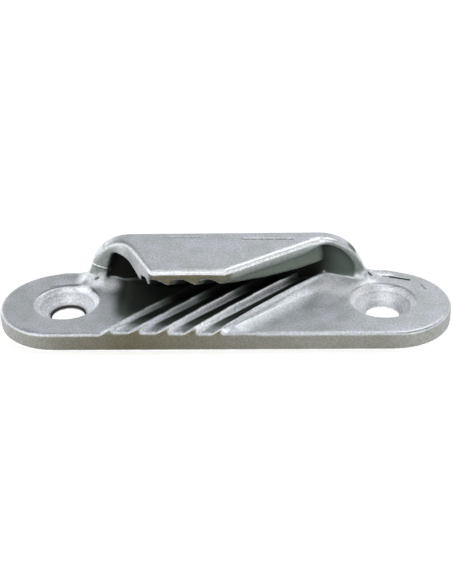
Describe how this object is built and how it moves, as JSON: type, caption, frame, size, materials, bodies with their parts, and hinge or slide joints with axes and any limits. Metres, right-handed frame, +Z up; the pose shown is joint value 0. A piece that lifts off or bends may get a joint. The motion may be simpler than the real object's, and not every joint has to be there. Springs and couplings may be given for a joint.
{
  "type": "jam cleat",
  "caption": "Flat cast jam cleat that grips a small rope between a ridged base and a toothed lip under an open-fronted hood, with countersunk screw holes.",
  "frame": {"origin": "middle of the plate's flat underside, halfway between the two screw holes", "axes": "+X along the plate, +Y from the open front to the hood's closed rear wall, +Z up, out of the surface that it is screwed to"},
  "size_m": [0.069, 0.0188, 0.0106],
  "materials": {
    "cast_aluminium": "fine bead-blasted casting, satin, clear anodised"
  },
  "bodies": {
    "root": {"cleat_body": "cast_aluminium"}
  },
  "joints": []
}
